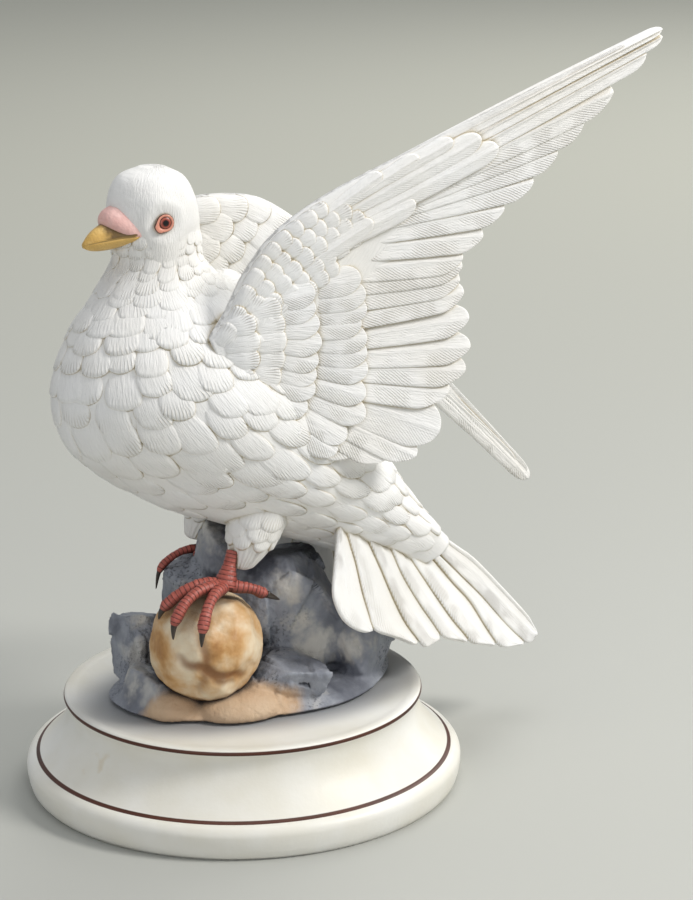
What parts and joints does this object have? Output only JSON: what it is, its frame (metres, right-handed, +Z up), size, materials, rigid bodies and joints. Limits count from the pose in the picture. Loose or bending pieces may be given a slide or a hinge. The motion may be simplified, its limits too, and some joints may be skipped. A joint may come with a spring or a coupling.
{
  "type": "dove statue",
  "caption": "Bisque porcelain dove with raised wings, perched on painted rock and a round stone, on a round turned plinth.",
  "frame": {"origin": "centre of the plinth's underside", "axes": "+Z up, the dove faces -Y, its left side is +X"},
  "size_m": [0.18, 0.2506, 0.3066],
  "materials": {
    "plinth": "cream bisque porcelain, satin, with two thin rust-brown lines",
    "bisque": "unglazed white bisque porcelain, the rock, feet, bill and eyes painted"
  },
  "bodies": {
    "root": {"plinth": "plinth", "dove_on_rock": "bisque"}
  },
  "joints": []
}
